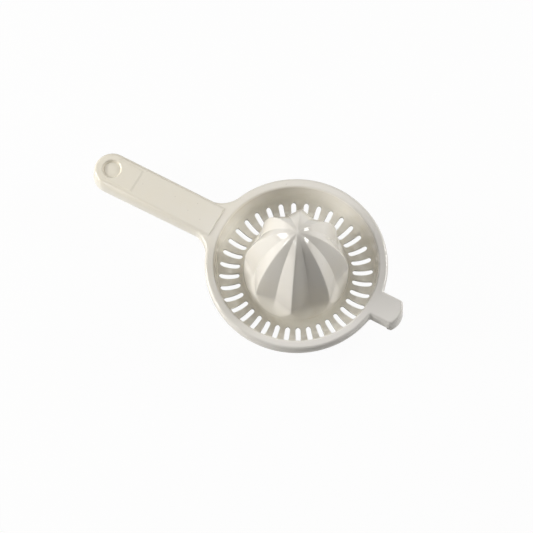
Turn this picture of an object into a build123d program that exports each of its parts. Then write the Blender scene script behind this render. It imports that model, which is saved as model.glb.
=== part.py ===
"""Hand citrus squeezer in ivory plastic: a fluted cone in a slotted dish, with a handle and a rest lug.

The real object is one moulding. It is split here at its natural bends into nine closed solids that meet face
to face: the cone, the cove at its foot, the slotted strainer, the dish wall, the rim, the handle's neck, the
handle, the hanging recess in the handle's end and the rest lug. Lengths are in millimetres. The origin is in
the middle of the length, on the surface that the dish stands on, +Z is up, and the handle points along -X.
"""

import os
from math import asin, cos, degrees, hypot, radians, sin, sqrt, tan

from build123d import *

os.makedirs("parts", exist_ok=True)

# Whole object
wall = 2.0
cut_overrun = 3.0

# Dish and rim
mouth_radius = 55.6
rim_width = 6.9
rim_outer_round = 2.5
rim_inner_round = 2.7
skirt_depth = 7.5
skirt_wall = 2.0
skirt_edge_round = 0.6
wall_lean = 0.6
trough_radius = 9.4
trough_depth = 24.4
standing_flat = 0.1

# Strainer slots, reaching to each side of the trough's middle
slot_count = 36
slot_inner_reach = 6.2
slot_outer_reach = 7.6
slot_width = 3.0
slot_land = 0.6

# Reaming cone
cone_height = 55.0
cone_lean = 0.9
cone_round_power = 1.7
cone_height_power = 1.6
flute_count = 8
flute_share = 0.83
crest_width = 0.5
scoop_top = 6.0
scoop_clearance = 0.6
flute_bulge_share = 0.03
flute_reach_share = 0.08
flute_top_level_shares = (0.998, 0.98, 0.94, 0.86, 0.745, 0.61, 0.47, 0.34, 0.22, 0.11, 0.0)
flute_foot_level_shares = (0.0, 0.31, 0.59, 0.8, 0.94, 0.993)
bell_level_shares = (0.0, 0.15, 0.3, 0.45, 0.6, 0.72, 0.82, 0.9, 0.955, 0.985)
hollow_level_shares = (0.0, 0.16, 0.32, 0.48, 0.62, 0.74, 0.83, 0.9)
hollow_foot_share = 0.5

# Handle and its neck
handle_length = 96.5
handle_half_width = 13.9
handle_side_draft = 9.0
handle_depth = 10.0
handle_raise = 0.7
handle_edge_round = 2.8
step_inset = 0.5
neck_corner_radius = 19.0
neck_inset = 0.3
neck_straight = 2.0
pad_raise = 0.3
pad_half_width = 8.5
pad_length = 19.1

# Hanging recess in the handle's end
recess_radius = 7.1
recess_floor_radius = 5.4
recess_depth = 2.0
recess_round = 0.5
recess_rim = 0.9

# Rest lug
lug_length = 18.0
lug_half_width = 10.4
lug_side_draft = 4.0
lug_depth = 8.0
lug_lip_depth = 13.0
lug_lip_wall = 3.5
lug_tip_radius = 14.0
lug_tip_round = 1.6
lug_edge_round = 1.8
lug_corner_radius = 1.8

# Places worked out from the sizes
skirt_radius = mouth_radius + rim_width
rim_flat_radius = skirt_radius - rim_outer_round
rim_foot_z = -rim_inner_round
handle_reach = skirt_radius + handle_length
handle_end_reach = handle_reach - handle_half_width
lug_reach = skirt_radius + lug_length
dish_x = (handle_reach - lug_reach) / 2
dish_axis = Axis((dish_x, 0, 0), (0, 0, 1))
rim_top = trough_depth + wall - standing_flat
wall_foot_radius = mouth_radius - wall_lean
trough_centre_radius = wall_foot_radius - trough_radius
trough_centre_z = trough_radius - trough_depth
strainer_inner_radius = trough_centre_radius - slot_inner_reach - slot_land
strainer_outer_radius = trough_centre_radius + slot_outer_reach + slot_land
cone_foot_radius = trough_centre_radius - trough_radius
cone_radius = cone_foot_radius - cone_lean
scoop_foot = trough_centre_z + scoop_clearance
step_reach = skirt_radius - step_inset
pad_top = handle_raise + pad_raise
recess_x = dish_x - handle_end_reach


def dish_section():
    """Upright plane through the dish's axis: x is the radius, y the height above the rim's top."""
    return Plane(origin=(dish_x, 0, rim_top), x_dir=(1, 0, 0), z_dir=(0, -1, 0))


def dish_level(height, toward=1):
    """Level plane at a height above the rim's top, centred on the dish, x towards the lug or the handle."""
    return Plane(origin=(dish_x, 0, rim_top + height), x_dir=(toward, 0, 0), z_dir=(0, 0, 1))


def trough_band(inner, outer):
    """Section of the trough between two radii: half a tube's wall, cut flat where the dish stands."""
    with BuildSketch(dish_section()) as band:
        with Locations((trough_centre_radius, trough_centre_z)):
            Circle(trough_radius + wall)
            Circle(trough_radius, mode=Mode.SUBTRACT)
        with Locations(((inner + outer) / 2, (trough_centre_z - rim_top) / 2)):
            Rectangle(outer - inner, trough_centre_z + rim_top, mode=Mode.INTERSECT)
    return band.sketch


def bell_radius(height):
    """Radius of the cone's crests: a rounded bell above the rim, a drafted wall below it."""
    if height > 0:
        share = (1 - (height / cone_height) ** cone_height_power) ** (1 / cone_round_power)
        return cone_radius * share
    return cone_radius + (cone_foot_radius - cone_radius) * height / trough_centre_z


def valley_radius(height):
    """Radius of a flute's bottom: a fixed share of the bell's, eased out to the wall under scoop_top."""
    if height > scoop_top:
        return flute_share * bell_radius(height)
    run = (height - scoop_foot) / (scoop_top - scoop_foot)
    depth = (1 - flute_share) * bell_radius(scoop_top)
    return bell_radius(height) - depth * (1 - (1 - run) ** 2)


def flute_half_angle(height):
    """Angle from a flute's middle to its edge: full above the rim, closing as a half ellipse below."""
    open_angle = 180 / flute_count - degrees(crest_width / 2 / bell_radius(height))
    if height > 0:
        return open_angle
    return open_angle * sqrt(1 - (height / scoop_foot) ** 2)


def flute_section(height):
    """One flute's cross-section: two shallow arcs that meet at the valley, carried out past the bell."""
    radius = bell_radius(height)
    angle = radians(flute_half_angle(height))
    valley = valley_radius(height)
    edge_x = valley + (radius * cos(angle) - valley) * (1 + flute_reach_share)
    edge_y = radius * sin(angle) * (1 + flute_reach_share)
    bulge_x = edge_y * flute_bulge_share
    bulge_y = (edge_x - valley) * flute_bulge_share
    middle = ((valley + edge_x) / 2 - bulge_x, edge_y / 2 + bulge_y)
    with BuildSketch(dish_level(height)) as section:
        with BuildLine():
            ThreePointArc((valley, 0), middle, (edge_x, edge_y))
            Polyline((edge_x, edge_y), (radius + cut_overrun, edge_y), (radius + cut_overrun, 0))
            mirror(about=Plane.XZ)
        make_face()
    return section.sketch


def hollow_section(height, crest, valley):
    """Star-shaped cross-section of the hollow under the cone, with a point behind each crest."""
    points = []
    for corner in range(2 * flute_count):
        radius = crest if corner % 2 else valley
        angle = radians(180 / flute_count * corner)
        points.append((radius * cos(angle), radius * sin(angle)))
    with BuildSketch(dish_level(height)) as section:
        with BuildLine():
            Polyline(*points, close=True)
        make_face()
    return section.sketch


def corner_lean(half_width, corner):
    """Angle off the axis at which a concave corner leaves the skirt for a part of that half width."""
    return degrees(asin((half_width + corner) / (skirt_radius + corner)))


def root_angle(half_width, corner):
    """Angle each side of the axis that a part growing out of the rim takes, a little past its corners."""
    return corner_lean(half_width, corner) + degrees(wall / 2 / skirt_radius)


def root_outline(toward, height, half_width, corner, reach, sector):
    """Plan of a part's root: it leaves the skirt through two concave corners and then runs straight out."""
    lean = corner_lean(half_width, corner)
    straight_x = (skirt_radius + corner) * cos(radians(lean))
    inner = rim_flat_radius - wall
    with BuildSketch(dish_level(height, toward)) as outline:
        with BuildLine():
            skirt_arc = CenterArc((0, 0), skirt_radius, lean, sector - lean)
            CenterArc((straight_x, half_width + corner), corner, 180 + lean, 90 - lean)
            Polyline((straight_x, half_width), (reach, half_width), (reach, 0))
            inner_corner = (inner * cos(radians(sector)), inner * sin(radians(sector)))
            Polyline(skirt_arc @ 1, inner_corner, (inner_corner[0], 0))
            mirror(about=Plane.XZ)
        make_face()
    return outline.sketch


def bar_outline(height, half_width, start):
    """Plan of the handle at a height: straight sides, and a round end about the recess's axis."""
    with BuildSketch(dish_level(height, -1)) as outline:
        with BuildLine():
            Line((start, half_width), (handle_end_reach, half_width))
            CenterArc((handle_end_reach, 0), half_width, 0, 90)
            Line((start, half_width), (start, 0))
            mirror(about=Plane.XZ)
        make_face()
    return outline.sketch


def lug_outline(height, start, half_width, tip):
    """Plan of the rest lug at a height: straight sides from the start to a bowed tip with rounded corners."""
    corner = tip - lug_tip_radius + sqrt(lug_tip_radius**2 - half_width**2)
    with BuildSketch(dish_level(height)) as outline:
        with BuildLine():
            Polyline((corner, half_width), (start, half_width), (start, -half_width), (corner, -half_width))
            ThreePointArc((corner, half_width), (tip, 0), (corner, -half_width))
        make_face()
        fillet(outline.vertices().group_by(Axis.X)[-1], lug_tip_round)
    return outline.sketch


def handle_width(height):
    """Half width of the handle at a height: the sides lean in towards the top."""
    return handle_half_width - (height + handle_depth) * tan(radians(handle_side_draft))


def lug_width(height):
    """Half width of the lug at a height: the sides lean in towards the top."""
    return lug_half_width - (height + lug_lip_depth) * tan(radians(lug_side_draft))


def lug_tip(height):
    """Distance of the lug's tip from the dish's axis at a height."""
    return lug_reach - (height + lug_lip_depth) * tan(radians(lug_side_draft))


def root_top_edges(root):
    """Edges round the top of a root, without those inside the rim and the one across the axis."""
    outer_edges = []
    for edge in root.faces().sort_by(Axis.Z)[-1].edges():
        middle = edge @ (1 / 2)
        reach = hypot(middle.X - dish_x, middle.Y)
        if reach > rim_flat_radius + wall / 4 and abs(middle.Y) > wall:
            outer_edges.append(edge)
    return outer_edges


neck_angle = root_angle(handle_width(-skirt_depth), neck_corner_radius)
neck_lean = corner_lean(handle_width(0), neck_corner_radius)
neck_reach = (skirt_radius + neck_corner_radius) * cos(radians(neck_lean)) + neck_straight
neck_end = Plane(origin=(dish_x - neck_reach, 0, 0), z_dir=(-1, 0, 0))
lug_angle = root_angle(lug_width(-skirt_depth), lug_corner_radius)
lug_root_reach = skirt_radius + 2 * lug_corner_radius

# Cone: a bell with eight flutes that run out as scoops above its foot
with BuildPart() as flute_cutter:
    for share in flute_top_level_shares:
        add(flute_section(scoop_top + (cone_height - scoop_top) * share))
    for share in flute_foot_level_shares:
        add(flute_section(scoop_foot * share))
    loft()

with BuildPart() as cone_hollow:
    hollow_crest_wall = wall * 1.3
    foot_radius = cone_foot_radius - wall
    add(hollow_section(trough_centre_z - cut_overrun, foot_radius, foot_radius))
    add(hollow_section(trough_centre_z, foot_radius, foot_radius))
    level = scoop_foot * hollow_foot_share
    add(hollow_section(level, bell_radius(level) - hollow_crest_wall, valley_radius(level) - wall))
    for share in hollow_level_shares:
        level = cone_height * share
        crest = bell_radius(level + wall) - hollow_crest_wall
        add(hollow_section(level, crest, valley_radius(level + wall) - wall))
    loft()

with BuildPart() as reamer_cone:
    with BuildSketch(dish_section()):
        with BuildLine():
            levels = [cone_height * share for share in bell_level_shares]
            bell_points = [(bell_radius(level), level) for level in levels]
            Spline(*bell_points, (0, cone_height), tangents=[(0, 1), (-1, 0)])
            foot = Line(bell_points[0], (cone_foot_radius, trough_centre_z))
            Polyline(foot @ 1, (0, trough_centre_z), (0, cone_height))
        make_face()
    revolve(axis=dish_axis)
    for turn in range(flute_count):
        add(flute_cutter.part.rotate(dish_axis, 360 / flute_count * turn), mode=Mode.SUBTRACT)
    add(cone_hollow.part, mode=Mode.SUBTRACT)
reamer_cone.part.label = "reamer_cone"
export_step(reamer_cone.part, "parts/reamer_cone.step")

# Cove from the cone's foot down to the strainer
with BuildPart() as cone_foot:
    add(trough_band(cone_foot_radius - wall, strainer_inner_radius))
    revolve(axis=dish_axis)
cone_foot.part.label = "cone_foot"
export_step(cone_foot.part, "parts/cone_foot.step")

# Strainer: the trough's floor, with its radial slots
with BuildPart() as strainer:
    add(trough_band(strainer_inner_radius, strainer_outer_radius))
    revolve(axis=dish_axis)
    with BuildSketch(dish_level(-rim_top - cut_overrun)):
        slot_middle = trough_centre_radius + (slot_outer_reach - slot_inner_reach) / 2
        with PolarLocations(slot_middle, slot_count):
            SlotOverall(slot_inner_reach + slot_outer_reach, slot_width)
    extrude(amount=trough_depth + cut_overrun, mode=Mode.SUBTRACT)
strainer.part.label = "strainer"
export_step(strainer.part, "parts/strainer.step")

# Dish wall: the cove outside the strainer and the drafted wall from it up to the rim
with BuildPart() as dish_wall:
    add(trough_band(strainer_outer_radius, wall_foot_radius + wall))
    with BuildSketch(dish_section()):
        with BuildLine():
            Polyline(
                (wall_foot_radius, trough_centre_z),
                (wall_foot_radius + wall, trough_centre_z),
                (mouth_radius + wall, rim_foot_z),
                (mouth_radius, rim_foot_z),
                close=True,
            )
        make_face()
    revolve(axis=dish_axis)
dish_wall.part.label = "dish_wall"
export_step(dish_wall.part, "parts/dish_wall.step")

# Rim: a rounded lip, a flat top and a skirt turned down, notched where the neck and the lug grow out
with BuildPart() as rim:
    with BuildSketch(dish_section()) as rim_section:
        with BuildLine():
            lip = RadiusArc((mouth_radius, rim_foot_z), (mouth_radius + rim_inner_round, 0), rim_inner_round)
            top = Line(lip @ 1, (rim_flat_radius, 0))
            edge = RadiusArc(top @ 1, (skirt_radius, -rim_outer_round), rim_outer_round)
            Polyline(
                edge @ 1,
                (skirt_radius, -skirt_depth),
                (skirt_radius - skirt_wall, -skirt_depth),
                (skirt_radius - skirt_wall, -wall),
                (mouth_radius + wall, -wall),
                (mouth_radius + wall, rim_foot_z),
                lip @ 0,
            )
        make_face()
        fillet(rim_section.vertices().group_by(Axis.Y)[0], skirt_edge_round)
    revolve(axis=dish_axis)
    for toward, angle in ((-1, neck_angle), (1, lug_angle)):
        with BuildSketch(dish_level(-skirt_depth - cut_overrun, toward)):
            with BuildLine():
                outer_reach = skirt_radius + cut_overrun
                CenterArc((0, 0), rim_flat_radius, -angle, 2 * angle)
                CenterArc((0, 0), outer_reach, -angle, 2 * angle)
                for side in (-angle, angle):
                    sector_cos = cos(radians(side))
                    sector_sin = sin(radians(side))
                    Line(
                        (rim_flat_radius * sector_cos, rim_flat_radius * sector_sin),
                        (outer_reach * sector_cos, outer_reach * sector_sin),
                    )
            make_face()
        extrude(amount=skirt_depth + 2 * cut_overrun, mode=Mode.SUBTRACT)
rim.part.label = "rim"
export_step(rim.part, "parts/rim.step")

# Envelope of the handle: a drafted bar with a round end, its top edge rounded off
with BuildPart() as handle_body:
    add(bar_outline(-handle_depth, handle_width(-handle_depth), step_reach))
    add(bar_outline(handle_raise, handle_width(handle_raise), step_reach))
    loft(ruled=True)
    shoulder = handle_body.faces().sort_by(Axis.Z)[-1].edges().group_by(Axis.X)[:-1]
    fillet([edge for group in shoulder for edge in group], handle_edge_round)

# Bar of the handle: hollowed from below, its lower edge rising towards the neck, with a raised pad at the end
with BuildPart() as handle_bar:
    add(handle_body.part)
    add(bar_outline(handle_raise, pad_half_width, handle_end_reach - pad_length))
    extrude(amount=pad_raise)
    with BuildPart(mode=Mode.PRIVATE) as handle_hollow:
        for level in (-handle_depth - cut_overrun, handle_raise - wall):
            add(bar_outline(level, handle_width(level) - wall, step_reach - cut_overrun))
        loft(ruled=True)
    add(handle_hollow.part, mode=Mode.SUBTRACT)
    with BuildSketch(dish_section()):
        with BuildLine():
            Polyline(
                (-step_reach + cut_overrun, -skirt_depth),
                (-step_reach, -skirt_depth),
                (-handle_end_reach, -handle_depth),
                (-handle_end_reach, -handle_depth - cut_overrun),
                (-step_reach + cut_overrun, -handle_depth - cut_overrun),
                close=True,
            )
        make_face()
    extrude(amount=handle_half_width + cut_overrun, both=True, mode=Mode.SUBTRACT)
    with Locations((recess_x, 0, rim_top + pad_top)):
        Hole(recess_radius + recess_rim)

# Neck: the root of the bar, with a fillet-shaped wing on each side that runs out along the rim
with BuildPart() as handle_neck:
    for level in (-skirt_depth, 0):
        width = handle_width(level) - neck_inset
        add(root_outline(-1, level, width, neck_corner_radius, neck_reach, neck_angle))
    loft(ruled=True)
    fillet(root_top_edges(handle_neck), rim_outer_round)
    with Locations((dish_x, 0, rim_top)):
        Cylinder(rim_flat_radius, 2 * trough_depth, mode=Mode.SUBTRACT)
    add(handle_body.part, mode=Mode.SUBTRACT)
    with BuildPart(mode=Mode.PRIVATE) as bar_root:
        add(handle_bar.part)
        split(bisect_by=neck_end, keep=Keep.BOTTOM)
    add(bar_root.part)
handle_neck.part.label = "handle_neck"
export_step(handle_neck.part, "parts/handle_neck.step")

# Handle: the bar from the neck to its round end
with BuildPart() as handle:
    add(handle_bar.part)
    split(bisect_by=neck_end, keep=Keep.TOP)
handle.part.label = "handle"
export_step(handle.part, "parts/handle.step")

# Blind dished recess in the handle's end, as deep as its countersunk wall
with BuildPart() as hanging_recess:
    recess_section = Plane(origin=(recess_x, 0, rim_top + pad_top), x_dir=(1, 0, 0), z_dir=(0, -1, 0))
    with BuildSketch(recess_section) as dishing:
        with BuildLine():
            Polyline(
                (0, -recess_depth),
                (recess_floor_radius, -recess_depth),
                (recess_radius, 0),
                (recess_radius + recess_rim, 0),
                (recess_radius + recess_rim, -recess_depth - wall),
                (0, -recess_depth - wall),
                close=True,
            )
        make_face()
        fillet(dishing.vertices().sort_by(Axis.X)[2:4], recess_round)
    revolve(axis=Axis((recess_x, 0, 0), (0, 0, 1)))
hanging_recess.part.label = "hanging_recess"
export_step(hanging_recess.part, "parts/hanging_recess.step")

# Rest lug: a short hollow tongue with a lip turned down at its tip, opposite the handle
with BuildPart() as rest_lug:
    for level in (-lug_lip_depth, 0):
        add(lug_outline(level, rim_flat_radius - wall, lug_width(level), lug_tip(level)))
    loft(ruled=True)
    lug_top = rest_lug.faces().sort_by(Axis.Z)[-1].edges().group_by(Axis.X)[1:]
    fillet([edge for group in lug_top for edge in group], lug_edge_round)
    with BuildSketch(dish_level(-lug_lip_depth)):
        with Locations((lug_reach - lug_lip_wall, 0)):
            Rectangle(lug_reach, 4 * lug_half_width, align=(Align.MAX, Align.CENTER))
    extrude(amount=lug_lip_depth - lug_depth, mode=Mode.SUBTRACT)
    with BuildPart(mode=Mode.PRIVATE) as lug_root:
        for level in (-skirt_depth, 0):
            add(root_outline(1, level, lug_width(level), lug_corner_radius, lug_root_reach, lug_angle))
        loft(ruled=True)
        fillet(root_top_edges(lug_root), rim_outer_round)
    add(lug_root.part)
    with BuildPart(mode=Mode.PRIVATE) as lug_hollow:
        for level in (-lug_lip_depth - cut_overrun, -wall):
            add(lug_outline(level, skirt_radius, lug_width(level) - wall, lug_tip(level) - lug_lip_wall))
        loft(ruled=True)
    add(lug_hollow.part, mode=Mode.SUBTRACT)
    with Locations((dish_x, 0, rim_top)):
        Cylinder(rim_flat_radius, 2 * trough_depth, mode=Mode.SUBTRACT)
rest_lug.part.label = "rest_lug"
export_step(rest_lug.part, "parts/rest_lug.step")
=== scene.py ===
"""Looks of the hand citrus squeezer: glossy ivory plastic on a white studio floor, lit by soft boxes.

Shapes are worked out in millimetres about the middle of the rim's top, x along the handle's line towards the
lug, and are put into the row's frame in metres by put().
"""

from math import cos, degrees, pi, radians, sin, tan

import bmesh
import bpy
import numpy as np
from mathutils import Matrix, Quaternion, Vector


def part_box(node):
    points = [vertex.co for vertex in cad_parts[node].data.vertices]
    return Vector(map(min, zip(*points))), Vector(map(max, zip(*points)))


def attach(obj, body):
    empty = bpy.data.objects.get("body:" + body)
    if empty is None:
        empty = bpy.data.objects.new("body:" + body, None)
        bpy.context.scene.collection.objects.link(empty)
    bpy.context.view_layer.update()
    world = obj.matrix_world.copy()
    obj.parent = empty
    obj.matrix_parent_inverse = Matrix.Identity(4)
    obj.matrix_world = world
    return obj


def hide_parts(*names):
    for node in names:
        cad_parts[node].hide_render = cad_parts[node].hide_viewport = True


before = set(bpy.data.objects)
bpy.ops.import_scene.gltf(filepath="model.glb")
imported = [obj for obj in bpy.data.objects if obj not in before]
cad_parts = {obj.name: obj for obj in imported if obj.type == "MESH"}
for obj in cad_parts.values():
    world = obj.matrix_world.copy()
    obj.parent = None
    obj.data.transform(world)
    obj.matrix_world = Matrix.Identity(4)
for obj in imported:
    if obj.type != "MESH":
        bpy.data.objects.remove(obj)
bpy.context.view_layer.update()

MM = 0.001
DISH_LOW, DISH_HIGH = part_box("dish_wall")
DISH_X = (DISH_LOW.x + DISH_HIGH.x) / 2 / MM
RIM_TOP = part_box("rim")[1].z / MM

# Sizes of the moulding in millimetres, heights from the rim's top
WALL = 2.0
MOUTH_RADIUS = 55.6
LIP_ROUND = 1.6
RIM_FLAT_RADIUS = 60.0
RIM_ROUND = 2.5
RIM_FOOT = -2.7
SKIRT_RADIUS = 62.5
SKIRT_DEPTH = 7.5
SKIRT_ROUND = 0.6
WALL_FOOT_RADIUS = 55.0
TROUGH_RADIUS = 9.4
UNDER_RADIUS = TROUGH_RADIUS + WALL
TROUGH_MIDDLE = 45.6
TROUGH_Z = -15.0
STRAINER_INNER = 38.8
STRAINER_OUTER = 53.8
SLOTS = 36
SLOT_WIDTH = 3.5
SLOT_ENDS = (40.85, 51.55)
SLOT_ROUND = 0.25
SLOT_UNDER_ROUND = 0.2
HANDLE_END = 145.1

# Cone: its bell, the hollow under it and its flutes, which run out as scoops below the rim's top
CONE_FOOT = 36.2
CONE_RADIUS = 35.3
CONE_HEIGHT = 55.0
BELL_POWERS = (1.6, 1.7)
CREST_WALL = 2.6
HOLLOW_LEVELS = (-15.0, -7.2, 0.0, 8.8, 17.6, 26.4, 34.1, 40.7, 45.65, 49.5)
FLUTES = 8
HALF_FLUTE = pi / FLUTES
FLUTE_SHARE = 0.17
FLUTE_SWELL = 0.012
SWELL_DEPTH = 3.0
SCOOP_TOP = 6.0
SCOOP_FOOT = -14.4
CREST_HALF_WIDTH = 0.25
CREST_ROUND = 0.42
# Height, and half width of the rounding at a flute's bottom
VALLEY_ROUNDS = ((-14, 2.0), (-4, 0.9), (12, 0.2), (55, 0.1))

# Planes and heights in the CAD's handle, neck and lug where their points are moved
STEP_X = -62.0
PAD_FRONT_X = -126.0
BAR_TOP = 0.7
LIP_INSIDE_X = 77.0
LIP_KNEE = -8.0
LIP_FOOT = -13.0

# Steps of the meshes
ROUND_STEPS = 432
FLUTE_STEPS = 28
SLOT_SIDE_STEPS = 22
SLOT_END_STEPS = (8, 12)
# Distance of a close point that keeps the shading of a rounded edge off the flat beside it
CLOSE = 0.06
# Distances in metres at which points are welded and faces count as degenerate
WELD = 2e-6
DEGENERATE = 1e-7

# Linear colours: the plastic along the handle's line, a paler painted light deep in the dish, and the
# plastic's marks
HANDLE_TINT = (0.905, 0.845, 0.710, 1)
MIDDLE_TINT = (0.900, 0.855, 0.765, 1)
LUG_TINT = (0.895, 0.862, 0.805, 1)
# Painted light: a paler colour blended in deep in the dish, standing in for light that reaches the trough
PAINTED_LIGHT_DEEP_TINT = (0.980, 0.950, 0.870, 1)
STAIN_TINT = (0.76, 0.68, 0.50, 1)
SPECK_TINT = (0.30, 0.25, 0.17, 1)

# Camera: degrees round and up, metres away, degrees of roll, lens and sensor in millimetres, shifts
AZIMUTH, ELEVATION, DISTANCE, ROLL = -64.0, 69.2, 1.1319, 2.25
LENS, SENSOR = 112.4, 36.0
SHIFT_X, SHIFT_Y = -0.0563, -0.0080

# Soft boxes: name, degrees anticlockwise from the picture's right, degrees up, size in metres, power in watts
PICTURE_RIGHT = 28.65
LAMP_DISTANCE = 1.2
SOFT_BOXES = (
    ("left_box", 179.0, 21.0, (0.66, 0.50), 12.0),
    ("right_box", 19.0, 21.0, (0.56, 0.36), 8.4),
    ("glint_box", 212.0, 39.0, (0.16, 0.22), 1.0),
    ("high_box", 95.0, 70.0, (0.7, 0.9), 2.9),
)
FLOOR_REACH = 3.0
FLOOR_Z = -0.0002
WHITE = (1, 1, 1, 1)


# ---------------------------------------------------------------- meshes


def put(points):
    """Points in millimetres about the rim's middle, moved into the row's frame in metres."""
    return (np.asarray(points, float) + (DISH_X, 0, RIM_TOP)) * MM


def lattice(points, wrap_rows=False, wrap_columns=False):
    """A grid of points with the four-cornered faces between its rows and columns, as (points, faces)."""
    rows, columns = points.shape[:2]
    index = np.arange(rows * columns).reshape(rows, columns)
    if wrap_rows:
        index = np.concatenate((index, index[:1]), axis=0)
    if wrap_columns:
        index = np.concatenate((index, index[:, :1]), axis=1)
    corners = (index[:-1, :-1], index[1:, :-1], index[1:, 1:], index[:-1, 1:])
    faces = np.stack(corners, axis=-1).reshape(-1, 4)
    return points.reshape(-1, 3), faces


def shown(name, mesh, material):
    """Puts a mesh with its material into the scene in place of a node."""
    mesh.materials.clear()
    mesh.materials.append(material)
    made = bpy.data.objects.new(name + "_shell", mesh)
    bpy.context.scene.collection.objects.link(made)
    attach(made, "root")
    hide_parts(name)


def piece(name, patches, material, sharp=34):
    """Joins patches into one closed mesh, smooth but for bends sharper than an angle, in place of a node."""
    start = 0
    points, faces = [], []
    for patch_points, patch_faces in patches:
        points.append(patch_points)
        faces.extend((np.asarray(face) + start).tolist() for face in patch_faces)
        start += len(patch_points)
    mesh = bpy.data.meshes.new(name)
    mesh.from_pydata(put(np.concatenate(points)).tolist(), [], faces)
    bm = bmesh.new()
    bm.from_mesh(mesh)
    bmesh.ops.remove_doubles(bm, verts=bm.verts, dist=WELD)
    bmesh.ops.dissolve_degenerate(bm, edges=bm.edges, dist=DEGENERATE)
    bmesh.ops.recalc_face_normals(bm, faces=bm.faces)
    open_edges = sum(1 for edge in bm.edges if len(edge.link_faces) != 2)
    print(f"{name}: {len(bm.verts)} points, {len(bm.faces)} faces, {open_edges} open edges")
    bm.to_mesh(mesh)
    bm.free()
    mesh.shade_smooth()
    mesh.set_sharp_from_angle(angle=radians(sharp))
    shown(name, mesh, material)


def rounded(corners, steps=7):
    """A closed outline through (x, y, radius) corners.

    Each corner is rounded by an arc, with one close point beyond each end of the arc.
    """
    corners = np.asarray(corners, float)
    outline = []
    for before, corner, after in zip(np.roll(corners, 1, 0), corners, np.roll(corners, -1, 0)):
        here, radius = corner[:2], corner[2]
        if radius == 0:
            outline.append(here[None])
            continue
        inward = (before[:2] - here) / np.linalg.norm(before[:2] - here)
        outward = (after[:2] - here) / np.linalg.norm(after[:2] - here)
        half = np.arccos(np.clip(inward @ outward, -1, 1)) / 2
        reach = radius / tan(half)
        middle = here + (inward + outward) / np.linalg.norm(inward + outward) * radius / sin(half)
        first = here + inward * reach - middle
        last = here + outward * reach - middle
        turn = np.linspace(0, 1, steps + 1)[:, None]
        sweep = pi - 2 * half
        arc = middle + (first * np.sin((1 - turn) * sweep) + last * np.sin(turn * sweep)) / sin(sweep)
        support = reach + 0.04 * radius
        outline += [(here + inward * support)[None], arc, (here + outward * support)[None]]
    return np.concatenate(outline)


def revolved(profile, angles):
    """A profile of (radius, height) points turned about the upright axis to each angle, in radians."""
    angles = np.asarray(angles)[:, None]
    radius, height = profile[:, 0][None], profile[:, 1][None]
    return np.stack((radius * np.cos(angles), radius * np.sin(angles), height + 0 * angles), axis=-1)


def full_turn(count):
    """Angles spaced evenly round a full turn."""
    return np.arange(count) * 2 * pi / count


def circle_points(middle, radius, degrees_round):
    """Points of a circle about a middle point, at angles in degrees."""
    angles = np.radians(degrees_round)
    return np.stack((middle[0] + radius * np.cos(angles), middle[1] + radius * np.sin(angles)), axis=-1)


def even(levels, points, count):
    """Levels spaced evenly along the curve of points that they give."""
    run = np.concatenate(([0], np.cumsum(np.linalg.norm(np.diff(points, axis=0), axis=1))))
    return np.interp(np.linspace(0, run[-1], count), run, levels)


# ---------------------------------------------------------------- cone


def soft_least(first, second, blend):
    """The lesser of two values, rounded off over a blend length where they meet."""
    return (first + second - np.sqrt((first - second) ** 2 + blend**2)) / 2


def bell_radius(height):
    """Radius of the cone's crests.

    Above the rim it is the cone's radius times (1 - s to the power 1.6) to the power 1 / 1.7, where s is the
    height's share of the cone's. Below the rim it grows evenly to the foot's radius.
    """
    share = np.clip(height / CONE_HEIGHT, 0, 1)
    bell = CONE_RADIUS * (1 - share ** BELL_POWERS[0]) ** (1 / BELL_POWERS[1])
    return np.where(height > 0, bell, CONE_RADIUS + (CONE_FOOT - CONE_RADIUS) * height / TROUGH_Z)


def valley_radius(height):
    """Radius of a flute's bottom: a share of the bell's, eased out to the wall by a parabola at the foot."""
    run = np.clip((height - SCOOP_FOOT) / (SCOOP_TOP - SCOOP_FOOT), 0, 1)
    depth = FLUTE_SHARE * bell_radius(np.maximum(height, SCOOP_TOP))
    return bell_radius(height) - depth * (1 - (1 - run) ** 2)


def fluted_radius(turn, height):
    """Radius of the cone at an angle from a flute's middle: the lesser of the bell and a V-shaped flute.

    A flute's side is a chord from its bottom to its crest, swelled a little. Where the crest lies dx further
    out than the bottom and dy to its side, the chord's radius at an angle is the bottom's radius times dy,
    divided by the cosine times dy less the sine times dx. Below the rim a flute narrows as a half ellipse.
    """
    bell, valley = bell_radius(height), valley_radius(height)
    depth = bell - valley
    crest = np.minimum(CREST_HALF_WIDTH / np.maximum(bell, 0.1), radians(9))
    narrowing = np.sqrt(np.clip(1 - (np.minimum(height, 0) / SCOOP_FOOT) ** 2, 1e-6, 1))
    edge = (HALF_FLUTE - crest) * narrowing
    softness = np.interp(height, *zip(*VALLEY_ROUNDS)) / np.maximum(valley, 1)
    softness = np.minimum(softness, 0.3 * edge)
    angle = np.sqrt(turn**2 + softness**2)
    dx, dy = bell * np.cos(edge) - valley, bell * np.sin(edge)
    inside = np.minimum(angle, edge)
    chord = valley * dy / np.maximum(np.cos(inside) * dy - np.sin(inside) * dx, 1e-9)
    share = inside / edge
    swell = FLUTE_SWELL * np.hypot(dx, dy) * 4 * share * (1 - share) * np.clip(depth / SWELL_DEPTH, 0, 1)
    beyond = np.maximum(angle - edge, 0) * bell * 1.1
    return soft_least(bell, chord + swell + beyond, np.minimum(CREST_ROUND, 0.5 * depth))


def flute_turns():
    """Angles over one flute from its middle, closer together at its bottom and at its crest."""
    eased = 0.5 - 0.5 * np.cos(np.linspace(0, pi, FLUTE_STEPS + 1))
    half = HALF_FLUTE * (0.65 * eased + 0.35 * np.linspace(0, 1, FLUTE_STEPS + 1))
    return np.concatenate((half[:-1], 2 * HALF_FLUTE - half[:0:-1]))


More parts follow.
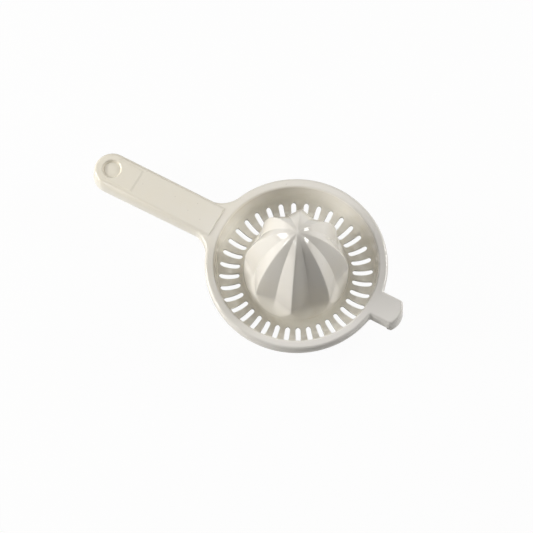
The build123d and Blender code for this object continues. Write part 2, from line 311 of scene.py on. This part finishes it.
def cone_outside(off):
    """Heights and radii of the fluted bell from its tip to its foot, at angles from a flute's middle."""
    dense = np.linspace(0, CONE_HEIGHT, 4000)
    upper = even(dense, np.stack((bell_radius(dense), dense), axis=-1), 84)[::-1]
    lower = np.concatenate((np.linspace(0, SCOOP_FOOT - 0.2, 44)[1:], (TROUGH_Z + 0.1, TROUGH_Z)))
    levels = np.concatenate((upper, lower))[:, None]
    radii = fluted_radius(off, levels)
    plain = levels[:, 0] < SCOOP_FOOT - 0.1
    radii[plain] = bell_radius(levels[plain])
    radii[0] = 0
    return levels, radii


def cone_hollow(off):
    """Heights and radii of the star-shaped hollow from the foot to its closed top, at the same angles."""
    rise = np.array(HOLLOW_LEVELS)
    outside = np.where(rise < 0, rise, rise + WALL)
    crest, dip = bell_radius(outside) - CREST_WALL, valley_radius(outside) - WALL
    crest[0] = dip[0] = CONE_FOOT - WALL
    levels = np.concatenate((np.linspace(rise[0], rise[-1], 34), rise[-1] + (0.05, 0.1)))[:, None]
    crest, dip = np.interp(levels, rise, crest), np.interp(levels, rise, dip)
    dx, dy = crest * cos(HALF_FLUTE) - dip, crest * sin(HALF_FLUTE)
    radii = dip * dy / (np.cos(off) * dy - np.sin(off) * dx)
    radii[-2] *= 0.9
    radii[-1] = 0
    return levels, radii


def cone_shell(material):
    """Fluted bell and the star-shaped hollow under it, as one grid from the tip down and up inside again."""
    turn = (np.arange(FLUTES)[:, None] * 2 * HALF_FLUTE + flute_turns()).ravel()
    off = np.abs((turn + HALF_FLUTE) % (2 * HALF_FLUTE) - HALF_FLUTE)[None]
    sides = cone_outside(off), cone_hollow(off)
    levels, radius = (np.concatenate(part) for part in zip(*sides))
    height = levels + 0 * radius
    points = np.stack((radius * np.cos(turn), radius * np.sin(turn), height), axis=-1)
    piece("reamer_cone", [lattice(points, wrap_columns=True)], material, sharp=50)


# ---------------------------------------------------------------- dish


def trough_top(radius):
    """Height of the trough's inner face: the lower half of a circle about the trough's middle."""
    return TROUGH_Z - np.sqrt(np.maximum(TROUGH_RADIUS**2 - (radius - TROUGH_MIDDLE) ** 2, 0))


def trough_under(radius):
    """Height of the trough's underside: a circle one wall larger, flat where the dish stands."""
    under = np.sqrt(UNDER_RADIUS**2 - (radius - TROUGH_MIDDLE) ** 2)
    return np.maximum(TROUGH_Z - under, -RIM_TOP)


def cove_angle(radius, tube):
    """Angle on the trough's circle, in degrees from straight down, at a radius from the dish's axis."""
    return degrees(np.arcsin((radius - TROUGH_MIDDLE) / tube))


def cove(tube, first, last, count):
    """Points on a circle about the trough's middle between two angles in degrees from straight down.

    They are spaced evenly, with one more point close to each end.
    """
    run = np.linspace(first, last, count)
    step = 0.4 if last > first else -0.4
    angles = np.radians(np.concatenate((run[:1], (first + step,), run[1:-1], (last - step,), run[-1:])))
    return np.stack((TROUGH_MIDDLE + tube * np.sin(angles), TROUGH_Z - tube * np.cos(angles)), axis=-1)


def foot_shell(material):
    """Cove at the cone's foot: a strip of the trough's tube between two radii, turned about the axis."""
    top = cove(TROUGH_RADIUS, -90, cove_angle(STRAINER_INNER, TROUGH_RADIUS), 12)
    under = cove(UNDER_RADIUS, cove_angle(STRAINER_INNER, UNDER_RADIUS), -90, 12)
    points = revolved(np.concatenate((top, under)), full_turn(ROUND_STEPS))
    piece("cone_foot", [lattice(points, True, True)], material)


def wall_shell(material):
    """Cove outside the strainer and the drafted wall from it up to the lip."""
    top = cove(TROUGH_RADIUS, cove_angle(STRAINER_OUTER, TROUGH_RADIUS), 90, 18)
    under = cove(UNDER_RADIUS, 90, cove_angle(STRAINER_OUTER, UNDER_RADIUS), 14)
    draft = np.array((MOUTH_RADIUS - WALL_FOOT_RADIUS, RIM_FOOT - TROUGH_Z))
    rise = np.linspace(0, 1, 9)[1:, None] * draft
    outer_top = np.array((MOUTH_RADIUS + WALL, RIM_FOOT))
    inside = rise + (WALL_FOOT_RADIUS, TROUGH_Z)
    profile = np.concatenate((top, inside, outer_top[None], outer_top - rise, under[1:]))
    points = revolved(profile, full_turn(ROUND_STEPS))
    piece("dish_wall", [lattice(points, True, True)], material)


def slot_loop(offset):
    """One slot's outline grown by an offset: half circles about its two ends' middles and straight sides."""
    first, last = SLOT_ENDS
    half = SLOT_WIDTH / 2 + offset
    run = np.linspace(first, last, SLOT_SIDE_STEPS + 1)
    inner = circle_points((first, 0), half, np.linspace(-90, -270, SLOT_END_STEPS[0] + 1)[:-1])
    outer = circle_points((last, 0), half, np.linspace(90, -90, SLOT_END_STEPS[1] + 1)[:-1])
    out = np.stack((run[:-1], np.full(SLOT_SIDE_STEPS, half)), axis=-1)
    back = np.stack((run[:0:-1], np.full(SLOT_SIDE_STEPS, -half)), axis=-1)
    return np.concatenate((inner, out, outer, back))


def sector_loop():
    """Border of one slot's share of the strainer: two arcs about the dish's axis and two radial lines."""
    half = radians(180 / SLOTS)
    inner_turn = np.linspace(-half, half, SLOT_END_STEPS[0] + 1)[:-1]
    outer_turn = np.linspace(half, -half, SLOT_END_STEPS[1] + 1)[:-1]
    run = np.linspace(STRAINER_INNER, STRAINER_OUTER, SLOT_SIDE_STEPS + 1)
    inner = STRAINER_INNER * np.stack((np.cos(inner_turn), np.sin(inner_turn)), axis=-1)
    outer = STRAINER_OUTER * np.stack((np.cos(outer_turn), np.sin(outer_turn)), axis=-1)
    out = run[:-1, None] * np.array((cos(half), sin(half)))
    back = run[:0:-1, None] * np.array((cos(half), -sin(half)))
    return np.concatenate((inner, out, outer, back))


def strainer_rings():
    """Rings round one slot, from its sector's border over its rounded edge and back to the border below."""
    border = sector_loop()
    rings = []
    for share in (1, 0.985, 0.72, 0.44, 0.2, 0.03, 0):
        plan = slot_loop(SLOT_ROUND) * (1 - share) + border * share
        rings.append((plan, trough_top(np.hypot(*plan.T))))
    for turn in np.radians((22.5, 45, 67.5, 90)):
        plan = slot_loop(SLOT_ROUND * (1 - sin(turn)))
        rings.append((plan, trough_top(np.hypot(*plan.T)) - SLOT_ROUND * (1 - cos(turn))))
    for turn in np.radians((90, 45, 0)):
        plan = slot_loop(SLOT_UNDER_ROUND * (1 - sin(turn)))
        rings.append((plan, trough_under(np.hypot(*plan.T)) + SLOT_UNDER_ROUND * (1 - cos(turn))))
    for share in (0.5, 1):
        plan = slot_loop(SLOT_UNDER_ROUND) * (1 - share) + border * share
        rings.append((plan, trough_under(np.hypot(*plan.T))))
    return np.stack([np.column_stack(ring) for ring in rings])


def strainer_shell(material):
    """Trough's floor: the rings round each slot, with strips that close its inner and outer border."""
    sector = strainer_rings()
    border = np.stack((sector[-1], sector[0]))
    inner_steps, outer_steps = SLOT_END_STEPS
    outer_start = inner_steps + SLOT_SIDE_STEPS
    strips = border[:, :inner_steps + 1], border[:, outer_start:outer_start + outer_steps + 1]
    patches = []
    for turn in full_turn(SLOTS):
        spin = np.array(((cos(turn), sin(turn), 0), (-sin(turn), cos(turn), 0), (0, 0, 1)))
        patches.append(lattice(sector @ spin, wrap_columns=True))
        patches += [lattice(strip @ spin) for strip in strips]
    piece("strainer", patches, material)


# ---------------------------------------------------------------- rim


def root_angle(half_width, depth, draft, corner):
    """Angle each side of the handle's line, in radians, that a part growing out of the skirt takes.

    The part has its half width at a depth, leans in by its draft in degrees up to the skirt's foot, and meets
    the skirt in a fillet as large as the corner.
    """
    half_width -= (depth - SKIRT_DEPTH) * tan(radians(draft))
    return np.arcsin((half_width + corner) / (SKIRT_RADIUS + corner)) + WALL / 2 / SKIRT_RADIUS


def rim_shell(material):
    """Lip, flat and skirt turned about the axis, without the skirt where the neck and the lug grow out."""
    mouth, flat, skirt = MOUTH_RADIUS, RIM_FLAT_RADIUS, SKIRT_RADIUS
    lip_edge = mouth + LIP_ROUND
    lip = circle_points((lip_edge, -LIP_ROUND), LIP_ROUND, np.linspace(180, 90, 13))
    inner = np.concatenate((
        ((flat, -WALL), (mouth + WALL, -WALL), (mouth + WALL, RIM_FOOT)),
        ((mouth, RIM_FOOT), (mouth, -LIP_ROUND - CLOSE)),
        lip,
        ((lip_edge + CLOSE, 0), (lip_edge + 1, 0), (lip_edge + 2, 0), (flat - 0.04, 0), (flat, 0)),
    ))
    skirt_foot = rounded((
        (skirt, -RIM_ROUND, 0),
        (skirt, -SKIRT_DEPTH, SKIRT_ROUND),
        (skirt - WALL, -SKIRT_DEPTH, SKIRT_ROUND),
        (skirt - WALL, -WALL, 0),
    ), 5)
    shoulder = circle_points((flat, -RIM_ROUND), RIM_ROUND, np.linspace(90, 0, 13))
    outer = np.concatenate((shoulder, ((skirt, -RIM_ROUND - CLOSE),), skirt_foot[1:], ((flat, -WALL),)))
    notch = np.array(((flat, 0), (flat, -WALL)))

    lug = root_angle(10.4, 13.0, 4, 1.8)
    neck = root_angle(13.9, 10.0, 9, 19.0)
    lug_turns = np.linspace(-lug, lug, 31)
    left_turns = np.linspace(lug, pi - neck, 181)
    neck_turns = np.linspace(pi - neck, pi + neck, 61)
    right_turns = 2 * pi - left_turns[::-1]
    turns = np.concatenate((left_turns, neck_turns[1:-1], right_turns, lug_turns[1:-1] + 2 * pi))
    patches = [lattice(revolved(inner, turns), wrap_rows=True)]
    for side in (left_turns, right_turns):
        strip = revolved(outer, side)
        patches.append(lattice(strip))
        patches += [(end, [list(range(len(end)))]) for end in (strip[0], strip[-1])]
    patches += [lattice(revolved(notch, side)) for side in (neck_turns, lug_turns)]
    piece("rim", patches, material)


# ---------------------------------------------------------------- handle and lug


def recess_shell(material):
    """Blind cup in the handle's end: a dished hole with rounded edges, turned about its own axis."""
    floor, pad, foot = -0.5, 1.0, -3.0
    side = rounded(((5.7, floor, 0.45), (6.9, pad, 1.0), (8.0, pad, 0), (8.0, foot, 0)))
    profile = np.concatenate((((0, floor), (2.5, floor)), side, ((4.0, foot), (0, foot))))
    points = revolved(profile, full_turn(128)) - (HANDLE_END, 0, 0)
    piece("hanging_recess", [lattice(points, wrap_rows=True)], material)


def reshaped(name, material, change):
    """A node's own mesh and smooth normals, with its points moved a little by a change in millimetres."""
    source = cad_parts[name]
    mesh = source.data.copy()
    spots = np.empty(3 * len(mesh.vertices), np.float32)
    mesh.vertices.foreach_get("co", spots)
    spots = spots.reshape(-1, 3).astype(float)
    turn = np.array(source.matrix_world)
    world = (spots @ turn[:3, :3].T + turn[:3, 3]) / MM - (DISH_X, 0, RIM_TOP)
    change(world)
    mesh.vertices.foreach_set("co", put(world).astype(np.float32).ravel())
    mesh.update()
    shown(name, mesh, material)


def near(values, place, reach=0.05):
    """Which values lie within a reach of a place."""
    return np.abs(values - place) < reach


def soften_step(points):
    """Lets the bar's end at the neck lean back: x is less by 0.75 of the height over the rim."""
    at_step = near(points[:, 0], STEP_X) & (points[:, 2] > 0.02)
    points[:, 0] -= at_step * 0.75 * points[:, 2]


def soften_pad(points):
    """Draws the pad's front out into a slope 1.6 mm long."""
    at_front = near(points[:, 0], PAD_FRONT_X) & near(points[:, 2], BAR_TOP, 0.02)
    points[:, 0] += at_front * 1.6


def soften_lip(points):
    """Makes the lug's lip thicker at its ends, by 2.4 mm at its foot and 3.6 mm at its knee."""
    inner = near(points[:, 0], LIP_INSIDE_X)
    knee = inner & near(points[:, 2], LIP_KNEE)
    foot = inner & (points[:, 2] < LIP_FOOT + 0.1)
    points[:, 0] -= foot * 2.4 + knee * 3.6
    points[:, 2] += foot * 0.5


# ---------------------------------------------------------------- finish


class Wire:
    """An output socket in a node tree; sums on it add the Math nodes that work them out."""

    def __init__(self, tree, socket=None):
        self.tree, self.socket = tree, socket

    def node(self, kind, settings, inputs, output=0):
        """Adds a node with its settings, or a ramp's stops, and the values or wires of its input sockets."""
        added = self.tree.nodes.new(kind)
        for key, value in settings.items():
            if key == "stops":
                ramp = added.color_ramp
                while len(ramp.elements) < len(value):
                    ramp.elements.new(1)
                for element, (place, colour) in zip(ramp.elements, value):
                    element.position, element.color = place, colour
            else:
                setattr(added, key, value)
        for key, value in inputs.items():
            if isinstance(value, Wire):
                self.tree.links.new(value.socket, added.inputs[key])
            else:
                added.inputs[key].default_value = value
        return Wire(self.tree, added.outputs[output]) if added.outputs else None

    def maths(self, operation, first, second=0.0, third=0.0):
        """Adds a Math node."""
        return self.node("ShaderNodeMath", {"operation": operation}, {0: first, 1: second, 2: third})

    def __add__(self, other):
        return self.maths("ADD", self, other)

    def __radd__(self, other):
        return self.maths("ADD", other, self)

    def __sub__(self, other):
        return self.maths("SUBTRACT", self, other)

    def __rsub__(self, other):
        return self.maths("SUBTRACT", other, self)

    def __mul__(self, other):
        return self.maths("MULTIPLY", self, other)

    def __rmul__(self, other):
        return self.maths("MULTIPLY", other, self)


def fresh_material(name):
    """A material with an empty node tree, and a wire in that tree."""
    material = bpy.data.materials.new(name)
    material.use_nodes = True
    material.node_tree.nodes.clear()
    return material, Wire(material.node_tree)


def ivory_plastic():
    """Glossy ivory plastic: a drifting warm tint, painted light that makes it paler deep in the dish, pale
    stains, specks, rubbed patches and fine scratches.
    """
    material, wire = fresh_material("ivory_plastic")
    place = wire.node("ShaderNodeTexCoord", {}, {}, output=3)

    def noise(scale, detail, roughness=0.5, vector=place):
        inputs = {"Vector": vector, "Scale": scale, "Detail": detail, "Roughness": roughness}
        return wire.node("ShaderNodeTexNoise", {}, inputs)

    def share(value, low, high):
        return wire.node("ShaderNodeMapRange", {}, {"Value": value, "From Min": low, "From Max": high})

    def blend(amount, first, second):
        return wire.node("ShaderNodeMix", {"data_type": "RGBA"}, {0: amount, 6: first, 7: second}, output=2)

    # Tint: yellower towards the handle's end, and painted light that makes it brighter deep in the dish
    along = wire.node("ShaderNodeSeparateXYZ", {}, {"Vector": place}, output=0)
    height = wire.node("ShaderNodeSeparateXYZ", {}, {"Vector": place}, output=2)
    age = share(along, -0.11, 0.11)
    # Share of depth in the dish, used for the painted light and to place the stains
    deep_painted_light_and_stain_mask = share(height, 0.026, 0.012)
    tint = wire.node(
        "ShaderNodeValToRGB",
        {"stops": ((0.1, HANDLE_TINT), (0.5, MIDDLE_TINT), (0.9, LUG_TINT))},
        {"Fac": age + (noise(22.0, 3.0) - 0.5) * 0.5 + (noise(160.0, 4.0, 0.6) - 0.5) * 0.2},
    )
    # Painted light: blends towards a paler colour deep in the dish
    tint = blend(deep_painted_light_and_stain_mask, tint, PAINTED_LIGHT_DEEP_TINT)

    # Pale stains in the dish, and specks at a few of a cell pattern's middles
    stain = share(noise(75.0, 5.0, 0.7), 0.52, 0.74)
    tint = blend(stain * deep_painted_light_and_stain_mask * 0.4, tint, STAIN_TINT)
    cells = wire.node("ShaderNodeTexVoronoi", {"feature": "F1"}, {"Vector": place, "Scale": 210.0}, output=0)
    speck = wire.maths("LESS_THAN", cells, 0.055) * wire.maths("GREATER_THAN", noise(90.0, 1.0), 0.6)
    colour = blend(speck * 0.45, tint, SPECK_TINT)

    # Rubbed patches, scratches along the handle's line and the moulding's ripple
    stretch = {"Vector": place, "Rotation": (0, 0, 0.4), "Scale": (60, 1500, 400)}
    scratch = noise(1.0, 3.0, 0.7, wire.node("ShaderNodeMapping", {}, stretch))
    rub = noise(45.0, 5.0, 0.65)
    ripple = noise(120.0, 2.0)
    bump = wire.node(
        "ShaderNodeBump",
        {},
        {"Strength": 0.09, "Distance": 0.0004, "Height": ripple * 0.75 + scratch * 0.25},
    )
    plastic = wire.node(
        "ShaderNodeBsdfPrincipled",
        {},
        {"Base Color": colour, "Roughness": 0.03 + rub * 0.08 + scratch * 0.05, "Normal": bump, "IOR": 1.5},
    )
    wire.node("ShaderNodeOutputMaterial", {}, {"Surface": plastic})
    return material


def studio_floor():
    """Pale floor: nearly white to the camera, less so in reflections, pale grey for the light it bounces."""
    material, wire = fresh_material("studio_floor")
    camera = wire.node("ShaderNodeLightPath", {}, {}, output="Is Camera Ray")
    glossy = wire.node("ShaderNodeLightPath", {}, {}, output="Is Glossy Ray")
    matt = wire.node("ShaderNodeBsdfDiffuse", {}, {"Color": (0.80, 0.79, 0.77, 1)})
    white = wire.node("ShaderNodeEmission", {}, {"Color": WHITE, "Strength": 1.0})
    seen = wire.maths("MINIMUM", camera * 0.96 + glossy * 0.3, 1.0)
    mixed = wire.node("ShaderNodeMixShader", {}, {0: seen, 1: matt, 2: white})
    wire.node("ShaderNodeOutputMaterial", {}, {"Surface": mixed})
    return material


# ---------------------------------------------------------------- set


def direction(around, up):
    """Unit vector at angles in degrees round from the x axis and up."""
    around, up = radians(around), radians(up)
    return Vector((cos(up) * cos(around), cos(up) * sin(around), sin(up)))


def set_camera(aim):
    """Camera that looks at a point, rolled about its line of sight."""
    data = bpy.data.cameras.new("camera")
    data.lens, data.sensor_width = LENS, SENSOR
    data.shift_x, data.shift_y = SHIFT_X, SHIFT_Y
    offset = direction(AZIMUTH, ELEVATION) * DISTANCE
    made = bpy.data.objects.new("camera", data)
    made.location = aim + offset
    level = (-offset).to_track_quat("-Z", "Y")
    made.rotation_euler = (level @ Quaternion((0, 0, 1), radians(ROLL))).to_euler()
    bpy.context.scene.collection.objects.link(made)
    bpy.context.scene.camera = made


def set_floor():
    """A square floor just under the part."""
    mesh = bpy.data.meshes.new("floor")
    corners = [(x * FLOOR_REACH, y * FLOOR_REACH, FLOOR_Z) for x, y in ((-1, -1), (1, -1), (1, 1), (-1, 1))]
    mesh.from_pydata(corners, [], [(0, 1, 2, 3)])
    mesh.materials.append(studio_floor())
    floor = bpy.data.objects.new("floor", mesh)
    bpy.context.scene.collection.objects.link(floor)


def set_world():
    """White world to the camera, a dim and slightly warm room for the light."""
    world = bpy.data.worlds.new("studio")
    world.use_nodes = True
    world.node_tree.nodes.clear()
    wire = Wire(world.node_tree)
    camera = wire.node("ShaderNodeLightPath", {}, {}, output="Is Camera Ray")
    white = wire.node("ShaderNodeBackground", {}, {"Color": WHITE, "Strength": 1.0})
    room = wire.node("ShaderNodeBackground", {}, {"Color": (1.0, 0.98, 0.96, 1), "Strength": 0.035})
    mixed = wire.node("ShaderNodeMixShader", {}, {0: camera, 1: room, 2: white})
    wire.node("ShaderNodeOutputWorld", {}, {"Surface": mixed})
    bpy.context.scene.world = world


def set_soft_boxes(aim):
    """Rectangular area lamps round a point, each turned to face it."""
    for name, around, up, size, power in SOFT_BOXES:
        lamp = bpy.data.lights.new(name, "AREA")
        lamp.shape, lamp.size, lamp.size_y = "RECTANGLE", size[0], size[1]
        lamp.energy = power
        made = bpy.data.objects.new(name, lamp)
        made.location = aim + direction(around + PICTURE_RIGHT, up) * LAMP_DISTANCE
        made.rotation_euler = (aim - made.location).to_track_quat("-Z", "Y").to_euler()
        bpy.context.scene.collection.objects.link(made)


scene = bpy.context.scene
scene.view_settings.view_transform = "Standard"
plastic = ivory_plastic()
for shell in (cone_shell, foot_shell, strainer_shell, wall_shell, rim_shell, recess_shell):
    shell(plastic)
reshaped("handle", plastic, soften_pad)
reshaped("handle_neck", plastic, soften_step)
reshaped("rest_lug", plastic, soften_lip)

rim_middle = Vector((DISH_X * MM, 0, RIM_TOP * MM))
set_camera(rim_middle)
set_floor()
set_world()
set_soft_boxes(rim_middle)
